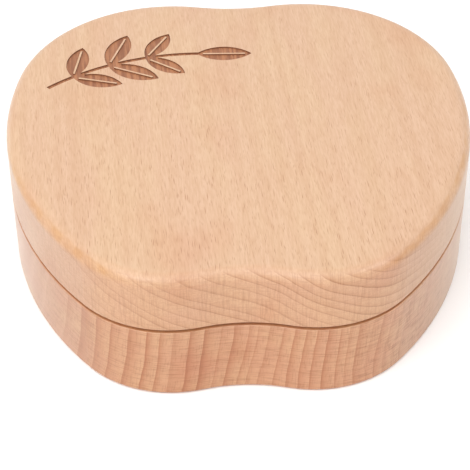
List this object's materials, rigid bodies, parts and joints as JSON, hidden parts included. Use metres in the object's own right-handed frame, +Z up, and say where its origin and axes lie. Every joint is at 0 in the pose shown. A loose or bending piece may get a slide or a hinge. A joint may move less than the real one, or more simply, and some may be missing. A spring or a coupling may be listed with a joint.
{
  "type": "keepsake box",
  "caption": "Tooth-shaped solid wood keepsake box for milk teeth: a base with round wells and a recess, and a thick lid that swivels on a hidden pivot and is held shut by magnets.",
  "frame": {"origin": "middle of the flat underside, which the box stands on", "axes": "+Z up, +Y towards the crown of the tooth (the back), +X to the right seen from the roots (the front)"},
  "size_m": [0.12, 0.117, 0.0375],
  "materials": {
    "beech_base": "sanded beech, end grain at the front",
    "beech_lid": "sanded beech, burnt engraving",
    "brass": "turned",
    "steel": "turned, zinc plated",
    "nickel": "nickel plated magnet"
  },
  "bodies": {
    "box_base": {"base": "beech_base", "pivot_bush": "brass", "base_magnet_crown_left": "nickel", "base_magnet_root_left": "nickel", "base_magnet_root_right": "nickel"},
    "swivel_lid": {"lid": "beech_lid", "threaded_insert": "brass", "pivot_screw": "steel", "pivot_washer": "steel", "lid_magnet_crown_left": "nickel", "lid_magnet_root_left": "nickel", "lid_magnet_root_right": "nickel"}
  },
  "joints": [
    {"name": "lid_swivel", "type": "hinge", "parent": "box_base", "child": "swivel_lid", "pos_m": [0.04098, 0.04048, 0.0214], "axis": [0, 0, 1], "continuous": true}
  ]
}
